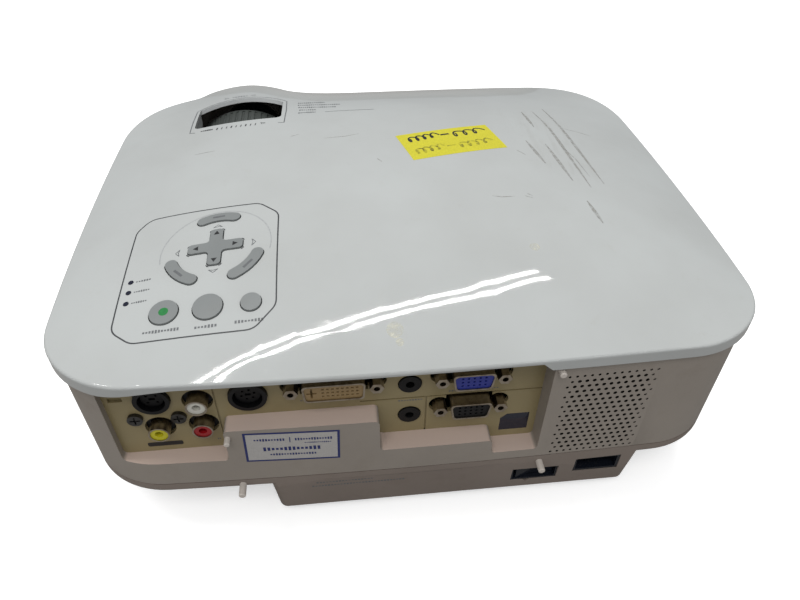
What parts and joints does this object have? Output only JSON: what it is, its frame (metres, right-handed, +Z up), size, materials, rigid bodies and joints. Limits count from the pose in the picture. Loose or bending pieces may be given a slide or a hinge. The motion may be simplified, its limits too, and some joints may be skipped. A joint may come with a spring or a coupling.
{
  "type": "home projector",
  "caption": "Desktop projector: domed case on a stepped base, rear connector bay, top keys, lens rings under an open window, drop-down front foot.",
  "frame": {"origin": "middle of the object's bounding box in plan, on the surface that its feet stand on", "axes": "+Z up, +Y towards the rear panel with the connectors, -Y towards the lens, +X towards the side with the lens and the keys"},
  "size_m": [0.294, 0.262, 0.117],
  "materials": {
    "cover": "glossy pale grey-white",
    "case": "fine grained warm white",
    "dark_steel": "black oxide",
    "foam": "open foam",
    "black_plastic": "moulded black",
    "dark_plastic": "moulded dark grey",
    "key_grey": "satin grey",
    "lamp_window": "smoked",
    "board_green": "solder mask",
    "ring_grey": "satin dark grey",
    "glass": "coated",
    "alloy": "cast",
    "mirror_coat": "cold mirror coating",
    "plate_cream": "greenish cream paint",
    "nickel": "nickel plate",
    "yellow_plastic": "yellow",
    "white_plastic": "white",
    "red_plastic": "red",
    "cream_plastic": "cream",
    "blue_plastic": "blue",
    "paper_cone": "pressed paper",
    "foot_grey": "satin grey"
  },
  "bodies": {
    "chassis": {"top_cover": "cover", "middle_case": "case", "speaker_grille": "case", "front_panel": "case", "bottom_case": "case", "fan_frames": "black_plastic", "status_lights": "lamp_window", "circuit_boards": "board_green", "lens_barrel": "black_plastic", "lens_bezel": "dark_plastic", "optical_engine": "alloy", "light_prism": "glass", "lamp_housing": "dark_plastic", "lamp_reflector": "mirror_coat", "lamp_burner": "glass", "lamp_ballast": "alloy", "power_supply": "board_green", "connector_plate": "plate_cream", "socket_bodies": "black_plastic", "rca_barrels": "nickel", "rca_video": "yellow_plastic", "rca_audio_left": "white_plastic", "rca_audio_right": "red_plastic", "connector_shells": "nickel", "dvi_insert": "cream_plastic", "vga_in_insert": "blue_plastic", "vga_out_insert": "black_plastic", "jackscrews": "nickel", "remote_windows": "lamp_window", "case_screws": "dark_steel", "cover_pegs": "case", "speaker": "paper_cone", "ac_inlet": "black_plastic", "inlet_pins": "nickel", "switch_housing": "black_plastic"},
    "menu_button": {"menu_button": "key_grey"},
    "enter_button": {"enter_button": "key_grey"},
    "exit_button": {"exit_button": "key_grey"},
    "power_button": {"power_button": "key_grey"},
    "source_button": {"source_button": "key_grey"},
    "auto_adjust_button": {"auto_adjust_button": "key_grey"},
    "pad_gimbal": {"pad_pivot": "black_plastic"},
    "select_key": {"select_pad": "key_grey"},
    "switch_rocker": {"power_switch": "black_plastic"},
    "focus_control": {"focus_ring": "ring_grey"},
    "front_lens_group": {"front_lens_cell": "black_plastic", "front_lens": "glass"},
    "zoom_control": {"zoom_ring": "ring_grey"},
    "zoom_lens_group": {"zoom_lens_cell": "black_plastic", "zoom_lens": "glass"},
    "front_foot_post": {"front_foot": "foot_grey"},
    "foot_latch_slider": {"foot_latch": "foot_grey"},
    "left_foot_screw": {"rear_foot_left": "foot_grey"},
    "right_foot_screw": {"rear_foot_right": "foot_grey"},
    "lamp_door": {"lamp_cover": "case", "lamp_cover_screw": "dark_steel"},
    "filter_door": {"filter_cover": "case", "air_filter": "foam"},
    "intake_rotor": {"intake_fan_rotor": "black_plastic"},
    "exhaust_rotor": {"exhaust_fan_rotor": "black_plastic"}
  },
  "joints": [
    {"name": "menu_button_press", "type": "slide", "parent": "chassis", "child": "menu_button", "axis": [0, 0, -1], "range_m": [0, 0.0005], "stiffness_N_per_m": 300},
    {"name": "enter_button_press", "type": "slide", "parent": "chassis", "child": "enter_button", "axis": [0, 0, -1], "range_m": [0, 0.0005], "stiffness_N_per_m": 300},
    {"name": "exit_button_press", "type": "slide", "parent": "chassis", "child": "exit_button", "axis": [0, 0, -1], "range_m": [0, 0.0005], "stiffness_N_per_m": 300},
    {"name": "power_button_press", "type": "slide", "parent": "chassis", "child": "power_button", "axis": [0, 0, -1], "range_m": [0, 0.0005], "stiffness_N_per_m": 300},
    {"name": "source_button_press", "type": "slide", "parent": "chassis", "child": "source_button", "axis": [0, 0, -1], "range_m": [0, 0.0005], "stiffness_N_per_m": 300},
    {"name": "auto_adjust_button_press", "type": "slide", "parent": "chassis", "child": "auto_adjust_button", "axis": [0, 0, -1], "range_m": [0, 0.0005], "stiffness_N_per_m": 300},
    {"name": "pad_rock_up_down", "type": "hinge", "parent": "chassis", "child": "pad_gimbal", "pos_m": [0.0797, 0.063, 0.1046], "axis": [1, 0, 0], "range_deg": [-2, 2], "stiffness_Nm_per_rad": 0.05},
    {"name": "pad_rock_left_right", "type": "hinge", "parent": "pad_gimbal", "child": "select_key", "pos_m": [0.0797, 0.063, 0.1046], "axis": [0, 1, 0], "range_deg": [-2, 2], "stiffness_Nm_per_rad": 0.05},
    {"name": "switch_rock", "type": "hinge", "parent": "chassis", "child": "switch_rocker", "pos_m": [-0.0536, 0.1186, 0.0182], "axis": [0, 0, 1], "range_deg": [-14, 0]},
    {"name": "focus_turn", "type": "hinge", "parent": "chassis", "child": "focus_control", "pos_m": [0.08, -0.0795, 0.0645], "axis": [0, 1, 0], "range_deg": [-40, 40]},
    {"name": "focus_travel", "type": "slide", "parent": "chassis", "child": "front_lens_group", "axis": [0, 1, 0], "range_m": [-0.004, 0.004]},
    {"name": "zoom_turn", "type": "hinge", "parent": "chassis", "child": "zoom_control", "pos_m": [0.08, -0.059, 0.0645], "axis": [0, 1, 0], "range_deg": [-20, 20]},
    {"name": "zoom_travel", "type": "slide", "parent": "chassis", "child": "zoom_lens_group", "axis": [0, 1, 0], "range_m": [-0.006, 0.006]},
    {"name": "front_foot_extend", "type": "slide", "parent": "chassis", "child": "front_foot_post", "axis": [0, 0, -1], "range_m": [0, 0.035]},
    {"name": "foot_latch_push", "type": "slide", "parent": "chassis", "child": "foot_latch_slider", "axis": [0, 1, 0], "range_m": [0, 0.003], "stiffness_N_per_m": 250},
    {"name": "left_foot_adjust", "type": "slide", "parent": "chassis", "child": "left_foot_screw", "axis": [0, 0, -1], "range_m": [0, 0.006]},
    {"name": "right_foot_adjust", "type": "slide", "parent": "chassis", "child": "right_foot_screw", "axis": [0, 0, -1], "range_m": [0, 0.006]},
    {"name": "lamp_door_slide", "type": "slide", "parent": "chassis", "child": "lamp_door", "axis": [-1, 0, 0], "range_m": [0, 0.07]},
    {"name": "filter_door_pull", "type": "slide", "parent": "chassis", "child": "filter_door", "axis": [1, 0, 0], "range_m": [0, 0.015]},
    {"name": "intake_fan_spin", "type": "hinge", "parent": "chassis", "child": "intake_rotor", "pos_m": [0.1273, -0.02, 0.057], "axis": [1, 0, 0], "continuous": true},
    {"name": "exhaust_fan_spin", "type": "hinge", "parent": "chassis", "child": "exhaust_rotor", "pos_m": [-0.076, -0.0983, 0.057], "axis": [0, 1, 0], "continuous": true}
  ],
  "couplings": [
    {"joint": "focus_travel", "follows": "focus_turn", "m_per_rad": 0.0057},
    {"joint": "zoom_travel", "follows": "zoom_turn", "m_per_rad": 0.017}
  ]
}
